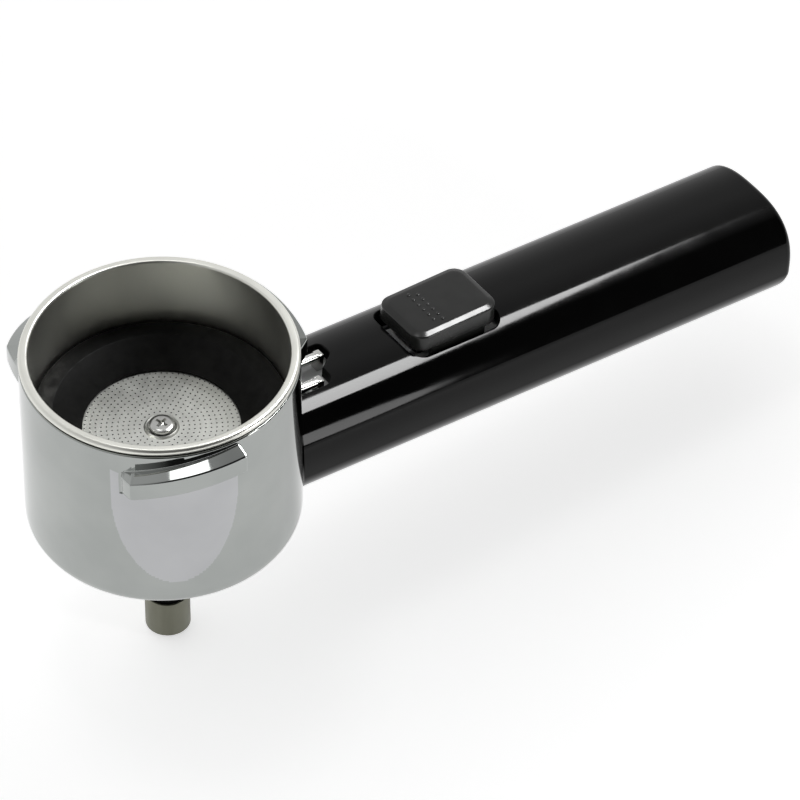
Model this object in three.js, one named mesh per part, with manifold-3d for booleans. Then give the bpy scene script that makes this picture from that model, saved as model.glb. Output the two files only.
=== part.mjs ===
// Portafilter for a home espresso machine, set up for paper coffee pods. Millimetres, +Z up.
// The origin is on the bowl's axis, level with the top of the filter basket's rim.
// +X points along the handle.
// The handle group has its own frame: x runs out along the handle, z points up and is 0 on its crown.
import * as THREE from "three";
import { mergeVertices } from "three/addons/utils/BufferGeometryUtils.js";
import Module from "manifold-3d";

const wasm = await Module();
wasm.setup();

// ---------------------------------------------------------------- driving dimensions
const GAP = 0.3; // between pieces that rest on each other

const BOWL = {
  radius: 31,
  top: -2,
  bottom: -48.3,
  cornerRadius: 3.7,
  basketBore: 29.6, // radius of the cavity that takes the basket
  shoulder: -25.8, // where the wall thickens below the basket
  chamberRadius: 27.6,
  chamberFloor: -44,
  drainRadius: 3.4,
  segments: 48, // flats round the bowl and the basket
};
const HUB = { topRadius: 11, bottomRadius: 8.6, bottom: -62, socketTop: -49.4 };
const LUG = {
  // each lug's ends in degrees from the handle; the slant is how far the second one tapers on past its end
  spans: [
    { from: -21.5, to: 30, slant: 0, rampPower: 1.65 },
    { from: 98.5, to: 133.5, slant: 12, rampPower: 1.2 },
    { from: 218.5, to: 270, slant: 0, rampPower: 1.65 },
  ],
  leadIn: 6, // degrees in which a lug reaches its full width
  reach: 34.4,
  highTop: -4.1,
  rise: 4, // the ramp's height, steepest at its low end
  lean: 1, // the top face drops this much from the wall to its outer edge
  thickness: 4.8,
};
const BOSS = {
  // the shields under the two lugs that are clear of the handle, degrees from the handle
  places: [
    { middle: 114, halfAngle: 20.5 },
    { middle: 241.5, halfAngle: 27 },
  ],
  top: -9,
  shoulder: -15, // the sides start to close here
  tip: -40.9,
  proud: 3.2,
};
const BASKET = {
  innerRadius: 28.8,
  sheet: 0.5,
  rimRadius: 31,
  rimHeight: 1.7,
  floorTop: -24.4,
  holeRadius: 7,
};
const SEAT = { top: -17.7, mouthRadius: 24, throatRadius: 17.3, lipBottom: -22.7, outerRadius: 28.4 };
const SIEVE = { radius: 18.4, top: -23, sheet: 0.5, screwHole: 2.3, ringRadius: 3.9, ringHeight: 0.45 };
const SIEVE_SCREW = { shankRadius: 2, headRadius: 2.9, headTop: -21.6, end: -34.9 };
const DIFFUSER = {
  postRadius: 5,
  chamberRadius: 11.5,
  neckRadius: 22.3,
  flangeRadius: 26.9,
  top: -26.5,
  flangeTop: -30.2,
  bottom: -32.4,
  nutPocketRadius: 4.2,
  nutPocketDepth: 0.8,
  nutBossRadius: 8,
  nutBossHeight: 2,
  ventRadius: 0.8,
  ventAt: 9.6,
};
const GASKET = { innerRadius: 12.2, outerRadius: 20.5 };
const NUT = { radius: 3.9, height: 2.2 };
const SPOUT = {
  pipeRadius: 4.4,
  pipeBore: 3.4,
  sleeveRadius: 5.15,
  sleeveTop: -74.5,
  tip: -84.3,
};

const HANDLE = {
  height: -23.95, // crown line where it would meet the bowl's axis
  drop: THREE.MathUtils.degToRad(5.44), // it slopes down outwards
  end: 167.7, // along its own axis
  saddleRadius: 31.5, // its front face is hollowed to sit against the bowl
  halfWidth: 16.4,
  widest: 14.85, // depth of its widest line below the crown
  depth: 27.7,
  upperPower: 2.69, // section: a superellipse, fuller above its widest line
  lowerPower: 1.6,
  flare: 0.019, // growth of the section over the length
  endFillet: 1.8,
  wall: 2.6,
  coreFrom: 92,
};
const CHANNEL = { halfWidth: 7.4, floor: -9.6, roof: -2.7, end: 94 };
const TANG = { halfWidth: 6.6, end: 66, top: -9.6, bottom: -21.2 };
const BOLT = { height: -16, shankRadius: 2.6, headRadius: 4.6, from: 46, seat: 76, headLength: 4.5 };
const NOTCH = {
  nearSide: -6,
  nearEnd: 42.9,
  farSide: 6.6,
  farEnd: 47.3, // the far half runs further back, behind a slanted step
  stepFrom: -1.2,
  stepTo: 2,
  cornerRadius: 2.5,
  stepRadius: 1.5,
};

const TRAVEL = 3.4; // of the button downwards, and so of the fork forwards
const GUIDE = { from: 43.6, to: 88, halfWidth: 7, top: -6.7, bottom: -9.3, lipTop: -4.3 };
const BUTTON = {
  from: 64.2,
  to: 87.2,
  halfWidth: 8.2,
  cornerRadius: 3.2,
  frontHeight: 3.7, // above the crown
  rearHeight: 4.6,
  draft: 0.3,
  edge: 1,
  bottom: GUIDE.lipTop + TRAVEL + GAP, // clear of the guide when it is pressed right down
  hollowRoof: 2,
  wall: 1.8,
  flangeReach: 10.6,
  flangeThickness: 1.2,
  stemHalfWidth: 3.6,
  stemEnd: 73.5,
  stemFoot: -5.7,
};
const POCKET = { from: 63, to: 88.4, halfWidth: 9.3, cornerRadius: 3.9, flangeRoom: 11.2, flangeRoof: -3.4 };
const FORK = {
  halfWidth: 6.1,
  top: -4.7,
  bottom: -6.3,
  front: 39,
  end: 90.6,
  tineSpacing: 7.2,
  tineRadius: 1.1,
  tineHeight: -1.2,
  tineTip: 27.9,
  nearPost: 39.4, // where each tine's post stands on the plate
  farPost: 44.4,
  postLength: 1.6,
  rampTop: -3.3,
  rampAt: 66, // the 45 degree ramp's upper edge
  rampLength: 4.5,
};
const GUIDE_SCREW = { at: 62, side: 4.2, headRadius: 2.2, shankRadius: 1.1, end: -12.6 };
const FORK_SPRING = { stop: 47.4, from: 49.1, to: 58.2, coilRadius: 1.45, wire: 0.25, turns: 6, height: -5.5 };
const BUTTON_SPRING = { at: 80.5, bottom: -7.7, top: -2.9, coilRadius: 2.2, wire: 0.3, turns: 3.5 };

// ---------------------------------------------------------------- shape helpers
const radians = THREE.MathUtils.degToRad;

// A closed geometry as a manifold-3d solid with its faces turned out.
function solidOf(geometry) {
  const bare = new THREE.BufferGeometry();
  bare.setAttribute("position", geometry.getAttribute("position"));
  bare.setIndex(geometry.index);
  const merged = mergeVertices(bare, 1e-4);
  const corners = merged.index.array;
  const triangles = [];
  for (let i = 0; i < corners.length; i += 3) {
    const [a, b, c] = corners.subarray(i, i + 3);
    if (a !== b && b !== c && c !== a) triangles.push(a, b, c);
  }
  const build = (triVerts) =>
    new wasm.Manifold(
      new wasm.Mesh({ numProp: 3, vertProperties: merged.attributes.position.array, triVerts }),
    );
  const made = build(new Uint32Array(triangles));
  return made.volume() < 0 ? build(new Uint32Array(triangles.reverse())) : made;
}

// Points of a polygon whose corners are [x, y] or [x, y, fillet radius].
function outline(corners, arcSteps = 4) {
  const points = [];
  corners.forEach(([x, y, radius = 0], i) => {
    const corner = new THREE.Vector2(x, y);
    if (!radius) {
      points.push(corner);
      return;
    }
    const [px, py] = corners.at(i - 1);
    const [nx, ny] = corners[(i + 1) % corners.length];
    const back = new THREE.Vector2(px, py).sub(corner).normalize();
    const ahead = new THREE.Vector2(nx, ny).sub(corner).normalize();
    const half = Math.acos(THREE.MathUtils.clamp(back.dot(ahead), -1, 1)) / 2;
    const centre = back.clone().add(ahead).setLength(radius / Math.sin(half)).add(corner);
    const start = corner.clone().addScaledVector(back, radius / Math.tan(half)).sub(centre);
    const turn = Math.PI - 2 * half;
    const side = Math.sign(back.cross(ahead));
    for (let step = 0; step <= arcSteps; step++) {
      const angle = (-side * turn * step) / arcSteps;
      points.push(start.clone().rotateAround(new THREE.Vector2(), angle).add(centre));
    }
  });
  return points;
}

// A ring or disc turned about Z from a closed outline of [radius, height, fillet] corners.
function turned(corners, segments = 32, arcSteps = 2) {
  const points = outline(corners, arcSteps);
  return solidOf(new THREE.LatheGeometry([...points, points[0]], segments).rotateX(Math.PI / 2));
}

// A flat outline made thick: [x, y, fillet] corners, from height z0 to z1.
function slab(corners, z0, z1, arcSteps = 4) {
  const shape = new THREE.Shape(outline(corners, arcSteps));
  const geometry = new THREE.ExtrudeGeometry(shape, { depth: z1 - z0, bevelEnabled: false });
  return solidOf(geometry.translate(0, 0, z0));
}

// A side view made thick: [x, z, fillet] corners, from y0 to y1.
function plank(corners, y0, y1) {
  const shape = new THREE.Shape(outline(corners));
  const geometry = new THREE.ExtrudeGeometry(shape, { depth: y1 - y0, bevelEnabled: false });
  return solidOf(geometry.rotateX(Math.PI / 2).translate(0, y1, 0));
}

function block(x0, x1, y0, y1, z0, z1) {
  const geometry = new THREE.BoxGeometry(x1 - x0, y1 - y0, z1 - z0);
  return solidOf(geometry.translate((x0 + x1) / 2, (y0 + y1) / 2, (z0 + z1) / 2));
}

function rodAlongX(radius, x0, x1, y, z, sides = 16) {
  const geometry = new THREE.CylinderGeometry(radius, radius, x1 - x0, sides);
  return solidOf(geometry.rotateZ(Math.PI / 2).translate((x0 + x1) / 2, y, z));
}

function rodAlongZ(radius, z0, z1, x, y, sides = 16) {
  const geometry = new THREE.CylinderGeometry(radius, radius, z1 - z0, sides);
  return solidOf(geometry.rotateX(Math.PI / 2).translate(x, y, (z0 + z1) / 2));
}

// A skin over rings of the same number of points, with a fan over each end.
function loft(rings) {
  const count = rings[0].length;
  const points = rings.flat();
  const triangles = [];
  for (let ring = 0; ring < rings.length - 1; ring++) {
    for (let i = 0; i < count; i++) {
      const a = ring * count + i;
      const b = ring * count + ((i + 1) % count);
      triangles.push(a, b, b + count, a, b + count, a + count);
    }
  }
  const fan = (ring, turnedRound) => {
    const middle = new THREE.Vector3();
    rings[ring].forEach((point) => middle.addScaledVector(point, 1 / count));
    const centre = points.push(middle) - 1;
    for (let i = 0; i < count; i++) {
      const a = ring * count + i;
      const b = ring * count + ((i + 1) % count);
      if (turnedRound) triangles.push(centre, b, a);
      else triangles.push(centre, a, b);
    }
  };
  fan(0, true);
  fan(rings.length - 1, false);
  return solidOf(new THREE.BufferGeometry().setFromPoints(points).setIndex(triangles));
}

// A coil spring about X, open at both ends.
function coil({ coilRadius, wire, turns }, length) {
  class Helix extends THREE.Curve {
    getPoint(t, target = new THREE.Vector3()) {
      const angle = 2 * Math.PI * turns * t;
      return target.set(length * t, coilRadius * Math.cos(angle), coilRadius * Math.sin(angle));
    }
  }
  const section = new THREE.Shape(
    inCircle(5, (angle) => new THREE.Vector2(wire * Math.cos(angle), wire * Math.sin(angle))),
  );
  return new THREE.ExtrudeGeometry(section, { extrudePath: new Helix(), steps: Math.round(9 * turns) });
}

function inCircle(count, make) {
  return Array.from({ length: count }, (_, i) => make((2 * Math.PI * i) / count));
}

// ---------------------------------------------------------------- scene helpers
const looks = {
  chrome: { color: 0xd4d7da, roughness: 0.07, metalness: 1 },
  satinSteel: { color: 0xb9b6ae, roughness: 0.32, metalness: 1 },
  brightSteel: { color: 0xc8c9ca, roughness: 0.18, metalness: 1 },
  blackPlastic: { color: 0x1d1d1c, roughness: 0.6, metalness: 0 },
  glossBlack: { color: 0x0b0b0c, roughness: 0.12, metalness: 0 },
  buttonGrey: { color: 0x2b2c2a, roughness: 0.45, metalness: 0 },
  rubber: { color: 0x151515, roughness: 0.85, metalness: 0 },
  spoutSteel: { color: 0x77746a, roughness: 0.4, metalness: 1 },
};

const portafilter = new THREE.Group();
const handle = new THREE.Group();
handle.position.z = HANDLE.height;
handle.rotation.y = HANDLE.drop;
handle.updateMatrix();
portafilter.add(handle);

const handleToBowl = (solid) => solid.transform(handle.matrix.elements);
const bowlToHandle = (solid) => solid.transform(handle.matrix.clone().invert().elements);

function addPiece(name, solid, look, parent = portafilter) {
  const { vertProperties, triVerts, numProp, numVert } = solid.getMesh();
  const positions = new Float32Array(numVert * 3);
  for (let i = 0; i < numVert; i++) {
    positions.set(vertProperties.subarray(i * numProp, i * numProp + 3), i * 3);
  }
  const indexed = new THREE.BufferGeometry();
  indexed.setAttribute("position", new THREE.BufferAttribute(positions, 3));
  indexed.setIndex(new THREE.BufferAttribute(triVerts, 1));
  const geometry = indexed.toNonIndexed();
  geometry.computeVertexNormals();
  const mesh = new THREE.Mesh(geometry, new THREE.MeshStandardMaterial(looks[look]));
  mesh.name = name;
  parent.add(mesh);
  return mesh;
}

// ---------------------------------------------------------------- bowl
const polar = (radius, angle, z) => new THREE.Vector3(radius * Math.cos(angle), radius * Math.sin(angle), z);

// One bayonet lug: a ramp that climbs round the wall.
function lug({ from, to, slant, rampPower }) {
  const inner = BOWL.radius - 0.9;
  const wallReach = BOWL.radius + 0.4;
  const ring = (angle, reach) => {
    const along = Math.min(1, (angle - from) / (to - from));
    const outerTop = LUG.highTop - LUG.rise * (1 - along) ** rampPower;
    const section = outline([
      [inner, outerTop + LUG.lean],
      [reach, outerTop, 0.5],
      [reach, outerTop - LUG.thickness, 0.7],
      [inner, outerTop - LUG.thickness],
    ], 1);
    return section.map(({ x, y }) => polar(x, radians(angle), y));
  };
  const steps = 7;
  const fullFrom = from + LUG.leadIn;
  const rings = [ring(from, wallReach)];
  for (let step = 0; step <= steps; step++) {
    rings.push(ring(fullFrom + ((to - fullFrom) * step) / steps, LUG.reach));
  }
  if (slant) rings.push(ring(to + slant, wallReach));
  return loft(rings);
}

// The shield under a lug: each level is a circle through the shield's middle and its two edges on the wall.
function boss({ middle, halfAngle: widest }) {
  const steps = 7;
  const rings = [];
  for (let step = 0; step <= steps; step++) {
    const z = BOSS.top + (BOSS.tip - BOSS.top) * Math.sin((Math.PI / 2) * (step / steps));
    const below = Math.max(0, (BOSS.shoulder - z) / (BOSS.shoulder - BOSS.tip));
    const halfAngle = radians(Math.max(3, widest * Math.sqrt(1 - below * below)));
    const proud = 0.05 + BOSS.proud * ((z - BOSS.tip) / (BOSS.top - BOSS.tip));
    const reach = BOWL.radius + proud;
    const centre = (reach ** 2 - BOWL.radius ** 2) / (2 * (reach - BOWL.radius * Math.cos(halfAngle)));
    const radius = reach - centre;
    rings.push(
      inCircle(24, (angle) =>
        new THREE.Vector3(centre + radius * Math.cos(angle), radius * Math.sin(angle), z)
          .applyAxisAngle(new THREE.Vector3(0, 0, 1), radians(middle)),
      ),
    );
  }
  return loft(rings);
}

function bowlBody() {
  const outside = turned([
    [0, BOWL.top],
    [BOWL.radius, BOWL.top, 0.4],
    [BOWL.radius, BOWL.bottom, BOWL.cornerRadius],
    [HUB.topRadius, BOWL.bottom, 1.5],
    [HUB.bottomRadius, HUB.bottom, 0.8],
    [0, HUB.bottom],
  ], BOWL.segments, 3);
  const cavity = turned([
    [0, BOWL.top + 1],
    [BOWL.basketBore + 0.3, BOWL.top + 1],
    [BOWL.basketBore + 0.3, BOWL.top],
    [BOWL.basketBore, BOWL.top - 0.4],
    [BOWL.basketBore, BOWL.shoulder],
    [BOWL.chamberRadius, BOWL.shoulder],
    [BOWL.chamberRadius, BOWL.chamberFloor, 2],
    [0, BOWL.chamberFloor - 0.6],
  ], BOWL.segments);
  const drain = rodAlongZ(BOWL.drainRadius, HUB.bottom, BOWL.chamberFloor + 1, 0, 0, 24);
  const socket = rodAlongZ(SPOUT.pipeRadius + GAP, HUB.bottom - 1, HUB.socketTop, 0, 0, 32);
  const tang = plank([
    [BOWL.radius - 3, TANG.bottom],
    [TANG.end, TANG.bottom, 1.5],
    [TANG.end, TANG.top, 1],
    [BOWL.radius - 3, TANG.top],
  ], -TANG.halfWidth, TANG.halfWidth);
  const boltHole = rodAlongX(BOLT.shankRadius + 0.35, BOLT.from - 0.6, TANG.end + 1, 0, BOLT.height);
  let body = outside;
  LUG.spans.forEach((span) => (body = body.add(lug(span))));
  BOSS.places.forEach((place) => (body = body.add(boss(place))));
  body = body.add(handleToBowl(tang)).subtract(cavity).subtract(drain).subtract(socket);
  body = body.subtract(handleToBowl(boltHole));
  for (const side of [-1, 1]) {
    const { shankRadius, end, at, side: offset } = GUIDE_SCREW;
    const screwHole = rodAlongZ(shankRadius + 0.35, end - 0.4, TANG.top + 1, at, side * offset, 12);
    const tineY = (side * FORK.tineSpacing) / 2;
    const tineBore = FORK.tineRadius + 0.4;
    const tineHole = rodAlongX(tineBore, BOWL.chamberRadius - 3, BOWL.radius + 2, tineY, FORK.tineHeight);
    body = body.subtract(handleToBowl(screwHole)).subtract(handleToBowl(tineHole));
  }
  return body;
}
addPiece("bowl_body", bowlBody(), "chrome");

// ---------------------------------------------------------------- basket and pod seat
const basketOutside = BASKET.innerRadius + BASKET.sheet;
const basketUnderside = BASKET.floorTop - BASKET.sheet;
addPiece(
  "filter_basket",
  turned([
    [BASKET.innerRadius, BASKET.floorTop, 1.2],
    [BASKET.innerRadius, 0, 0.6],
    [BASKET.rimRadius, 0, 0.8],
    [BASKET.rimRadius, -BASKET.rimHeight, 0.6],
    [basketOutside, -BASKET.rimHeight],
    [basketOutside, basketUnderside, 1.7],
    [BASKET.holeRadius, basketUnderside],
    [BASKET.holeRadius, BASKET.floorTop],
  ], BOWL.segments),
  "satinSteel",
);
const sieveBottom = SIEVE.top - SIEVE.sheet;
const seatBottom = BASKET.floorTop + GAP;
addPiece(
  "pod_seat",
  turned([
    [SEAT.mouthRadius, SEAT.top, 0.35],
    [SEAT.outerRadius, SEAT.top, 0.3],
    [SEAT.outerRadius, seatBottom, 1.3],
    [SIEVE.radius + GAP, seatBottom],
    [SIEVE.radius + GAP, SEAT.lipBottom],
    [SEAT.throatRadius, SEAT.lipBottom],
  ], BOWL.segments, 1),
  "blackPlastic",
);
addPiece(
  "sieve_disc",
  turned([
    [SIEVE.screwHole, SIEVE.top],
    [SIEVE.ringRadius - 0.8, SIEVE.top],
    [SIEVE.ringRadius - 0.4, SIEVE.top + SIEVE.ringHeight],
    [SIEVE.ringRadius, SIEVE.top],
    [SIEVE.radius, SIEVE.top],
    [SIEVE.radius, sieveBottom],
    [SIEVE.screwHole, sieveBottom],
  ]),
  "brightSteel",
);

function sieveScrew() {
  const headBottom = SIEVE.top + GAP;
  const turnedScrew = turned([
    [0, SIEVE_SCREW.headTop],
    [SIEVE_SCREW.headRadius, SIEVE_SCREW.headTop, 0.5],
    [SIEVE_SCREW.headRadius, headBottom],
    [SIEVE_SCREW.shankRadius, headBottom],
    [SIEVE_SCREW.shankRadius, SIEVE_SCREW.end, 0.4],
    [0, SIEVE_SCREW.end],
  ], 24);
  const slot = { half: 1.6, width: 0.35, depth: 0.7 };
  const floor = SIEVE_SCREW.headTop - slot.depth;
  const roof = SIEVE_SCREW.headTop + 1;
  const across = block(-slot.half, slot.half, -slot.width, slot.width, floor, roof);
  const along = block(-slot.width, slot.width, -slot.half, slot.half, floor, roof);
  return turnedScrew.subtract(across.add(along));
}
addPiece("sieve_screw", sieveScrew(), "brightSteel");

// The crema diffuser hangs under the basket's floor; the fork's tines catch above its flange.
function cremaDiffuser() {
  const { postRadius, chamberRadius, neckRadius, flangeRadius, top, flangeTop, bottom } = DIFFUSER;
  const { nutPocketRadius, nutPocketDepth, nutBossRadius, nutBossHeight, ventRadius, ventAt } = DIFFUSER;
  const chamberFloor = flangeTop + 0.6;
  const bore = SIEVE_SCREW.shankRadius + GAP;
  const body = turned([
    [bore, sieveBottom - GAP],
    [postRadius, sieveBottom - GAP],
    [postRadius, chamberFloor],
    [chamberRadius, chamberFloor],
    [chamberRadius, top],
    [neckRadius, top, 0.4],
    [neckRadius, flangeTop],
    [flangeRadius, flangeTop, 0.4],
    [flangeRadius, bottom, 0.9],
    [nutBossRadius, bottom],
    [nutBossRadius - 0.6, bottom - nutBossHeight, 0.5],
    [nutPocketRadius, bottom - nutBossHeight],
    [nutPocketRadius, bottom + nutPocketDepth],
    [bore, bottom + nutPocketDepth],
  ]);
  return body.subtract(rodAlongZ(ventRadius, bottom - 1, chamberFloor + 1, ventAt, 0, 10));
}
addPiece("crema_diffuser", cremaDiffuser(), "blackPlastic");
addPiece(
  "diffuser_gasket",
  turned([
    [GASKET.innerRadius, DIFFUSER.top + GAP],
    [GASKET.innerRadius, basketUnderside - GAP],
    [GASKET.outerRadius, basketUnderside - GAP],
    [GASKET.outerRadius, DIFFUSER.top + GAP],
  ]),
  "rubber",
);

function diffuserNut() {
  const top = DIFFUSER.bottom + DIFFUSER.nutPocketDepth - GAP;
  const under = top - NUT.height;
  const hexagon = turned([[0, top], [NUT.radius, top], [NUT.radius, under], [0, under]], 6);
  return hexagon.subtract(rodAlongZ(SIEVE_SCREW.shankRadius + GAP, under - 1, top + 1, 0, 0));
}
addPiece("diffuser_nut", diffuserNut(), "brightSteel");

// ---------------------------------------------------------------- spout
const pipeTop = HUB.socketTop - 1.6;
addPiece(
  "outlet_pipe",
  turned([
    [SPOUT.pipeBore, pipeTop],
    [SPOUT.pipeRadius, pipeTop],
    [SPOUT.pipeRadius, SPOUT.tip + 1],
    [SPOUT.pipeBore, SPOUT.tip + 1],
  ], 24),
  "blackPlastic",
);
addPiece(
  "outlet_sleeve",
  turned([
    [SPOUT.pipeRadius + GAP, SPOUT.sleeveTop],
    [SPOUT.sleeveRadius, SPOUT.sleeveTop, 0.2],
    [SPOUT.sleeveRadius, SPOUT.tip, 0.2],
    [SPOUT.pipeRadius + GAP, SPOUT.tip],
  ], 24, 1),
  "spoutSteel",
);
const sealRing = new THREE.TorusGeometry(4.05, 0.5, 6, 20).translate(0, 0, pipeTop + GAP + 0.5);
addPiece("outlet_seal", solidOf(sealRing), "rubber");

// ---------------------------------------------------------------- handle
// One ring of the handle's section at x, drawn in by inset on every side.
function handleRing(x, inset, count = 48) {
  const growth = 1 + (HANDLE.flare * x) / HANDLE.end;
  const halfWidth = HANDLE.halfWidth * growth - inset;
  const above = HANDLE.widest * growth - inset;
  const below = (HANDLE.depth - HANDLE.widest) * growth - inset;
  const middle = -HANDLE.widest * growth;
  return inCircle(count, (angle) => {
    const across = Math.cos(angle);
    const up = Math.sin(angle);
    const power = 2 / (up > 0 ? HANDLE.upperPower : HANDLE.lowerPower);
    const y = halfWidth * Math.sign(across) * Math.abs(across) ** power;
    const z = middle + (up > 0 ? above : below) * Math.sign(up) * Math.abs(up) ** power;
    return new THREE.Vector3(x, y, z);
  });
}

function handleOutside() {
  const rings = [handleRing(24, 0)];
  const steps = 3;
  for (let step = 0; step <= steps; step++) {
    const angle = (Math.PI / 2) * (step / steps);
    const x = HANDLE.end - HANDLE.endFillet * (1 - Math.sin(angle));
    rings.push(handleRing(x, HANDLE.endFillet * (1 - Math.cos(angle))));
  }
  return loft(rings);
}

function handleShell() {
  const front = 20;
  const saddle = rodAlongZ(HANDLE.saddleRadius, -100, 50, 0, 0, 64);
  const core = loft([HANDLE.coreFrom, HANDLE.end + 1].map((x) => handleRing(x, HANDLE.wall, 32)));
  const { halfWidth: channelSide, floor, roof } = CHANNEL;
  const channel = block(front, CHANNEL.end, -channelSide, channelSide, floor, roof);
  const tangSide = TANG.halfWidth + 0.35;
  const socket = block(front, TANG.end + 0.4, -tangSide, tangSide, TANG.bottom - 0.35, floor + 1);
  const { flangeRoom: room, flangeRoof } = POCKET;
  const flangeRoom = block(POCKET.from - 1, POCKET.to + 1, -room, room, floor, flangeRoof);
  const pocket = slab([
    [POCKET.from, -POCKET.halfWidth, POCKET.cornerRadius],
    [POCKET.to, -POCKET.halfWidth, POCKET.cornerRadius],
    [POCKET.to, POCKET.halfWidth, POCKET.cornerRadius],
    [POCKET.from, POCKET.halfWidth, POCKET.cornerRadius],
  ], floor + 2, 3);
  const notch = slab([
    [front, NOTCH.nearSide],
    [NOTCH.nearEnd, NOTCH.nearSide, NOTCH.cornerRadius],
    [NOTCH.nearEnd, NOTCH.stepFrom, NOTCH.stepRadius],
    [NOTCH.farEnd, NOTCH.stepTo, NOTCH.stepRadius],
    [NOTCH.farEnd, NOTCH.farSide, NOTCH.stepRadius],
    [front, NOTCH.farSide],
  ], floor + 2, 3);
  const boltHole = rodAlongX(BOLT.shankRadius + 0.4, front, BOLT.seat + 1, 0, BOLT.height);
  const headRoom = rodAlongX(BOLT.headRadius + 0.7, BOLT.seat, HANDLE.coreFrom + 1, 0, BOLT.height, 24);
  let shell = handleOutside().subtract(bowlToHandle(saddle));
  for (const cut of [core, channel, socket, flangeRoom, pocket, notch, boltHole, headRoom]) {
    shell = shell.subtract(cut);
  }
  return shell;
}
addPiece("handle_shell", handleShell(), "glossBlack", handle);

function handleEndCap() {
  const fit = HANDLE.wall + GAP;
  const length = 5;
  const plug = loft([
    handleRing(HANDLE.end - length, fit, 32),
    handleRing(HANDLE.end - 0.4, fit, 32),
    handleRing(HANDLE.end, fit + 0.4, 32),
  ]);
  const hollow = loft([
    handleRing(HANDLE.end - length - 1, fit + 2, 24),
    handleRing(HANDLE.end - 2.2, fit + 2, 24),
  ]);
  return plug.subtract(hollow);
}
addPiece("handle_end_cap", handleEndCap(), "glossBlack", handle);

const washerEnd = BOLT.seat + GAP + 1.1;
addPiece(
  "bolt_washer",
  rodAlongX(5, BOLT.seat + GAP, washerEnd, 0, BOLT.height, 24)
    .subtract(rodAlongX(BOLT.shankRadius + GAP, BOLT.seat, washerEnd + 1, 0, BOLT.height)),
  "brightSteel",
  handle,
);
function handleBolt() {
  const headFrom = washerEnd + GAP;
  const headEnd = headFrom + BOLT.headLength;
  const shank = rodAlongX(BOLT.shankRadius, BOLT.from, headFrom + 0.5, 0, BOLT.height);
  const head = rodAlongX(BOLT.headRadius, headFrom, headEnd, 0, BOLT.height, 24);
  const keyHole = rodAlongX(2.4, headEnd - 2.5, headEnd + 1, 0, BOLT.height, 6);
  return shank.add(head).subtract(keyHole);
}
addPiece("handle_bolt", handleBolt(), "brightSteel", handle);

// ---------------------------------------------------------------- basket lock
// The button's stem drives the fork's ramp, and the tines come through the wall above the diffuser's flange.
const stemFront = FORK.rampAt + 0.9;
const rampSum = FORK.rampAt + FORK.rampTop; // x + z is the same all along the ramp

function buttonRing(level, inset) {
  const corners = [
    [BUTTON.from + inset, -BUTTON.halfWidth + inset],
    [BUTTON.to - inset, -BUTTON.halfWidth + inset],
    [BUTTON.to - inset, BUTTON.halfWidth - inset],
    [BUTTON.from + inset, BUTTON.halfWidth - inset],
  ].map(([x, y]) => [x, y, BUTTON.cornerRadius - inset / 2]);
  const slope = (BUTTON.rearHeight - BUTTON.frontHeight) / (BUTTON.to - BUTTON.from);
  return outline(corners, 4).map(({ x, y }) => {
    const top = BUTTON.frontHeight + slope * (x - BUTTON.from);
    return new THREE.Vector3(x, y, level === null ? BUTTON.bottom : top - level);
  });
}

function lockButton() {
  const { edge, halfWidth, from, to, stemHalfWidth, stemEnd, stemFoot, bottom, hollowRoof, wall } = BUTTON;
  const rings = [buttonRing(null, -BUTTON.draft), buttonRing(edge, 0)];
  const steps = 3;
  for (let step = 1; step <= steps; step++) {
    const angle = (Math.PI / 2) * (step / steps);
    rings.push(buttonRing(edge * (1 - Math.sin(angle)), edge * (1 - Math.cos(angle))));
  }
  const inside = halfWidth - wall;
  const hollow = block(from + wall, to - wall, -inside, inside, bottom - 1, hollowRoof);
  let button = loft(rings).subtract(hollow);
  const wedgeSum = rampSum + Math.SQRT2 * GAP; // its slope lies a gap away from the fork's ramp
  const stem = plank([
    [stemFront, hollowRoof + 0.5],
    [stemFront, wedgeSum - stemFront],
    [wedgeSum - stemFoot, stemFoot],
    [stemEnd, stemFoot],
    [stemEnd, hollowRoof + 0.5],
  ], -stemHalfWidth, stemHalfWidth);
  const { at, top: springTop, coilRadius, wire } = BUTTON_SPRING;
  const seatSide = coilRadius + 2 * wire;
  const seatUnder = springTop + wire + GAP;
  const springSeat = block(at - seatSide, at + seatSide, -seatSide, seatSide, seatUnder, hollowRoof + 0.5);
  button = button.add(stem).add(springSeat);
  const flangeTop = POCKET.flangeRoof - GAP;
  const flangeBottom = flangeTop - BUTTON.flangeThickness;
  const inner = GUIDE.halfWidth + GAP;
  for (const side of [-1, 1]) {
    const [skirtLow, skirtHigh] = [side * inner, side * halfWidth].sort((a, b) => a - b);
    const [flangeLow, flangeHigh] = [side * inner, side * BUTTON.flangeReach].sort((a, b) => a - b);
    button = button
      .add(block(from + 4, to - 4, skirtLow, skirtHigh, flangeBottom, 1))
      .add(block(from + 4, to - 4, flangeLow, flangeHigh, flangeBottom, flangeTop));
  }
  return button;
}
addPiece("lock_button", lockButton(), "buttonGrey", handle);

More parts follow.
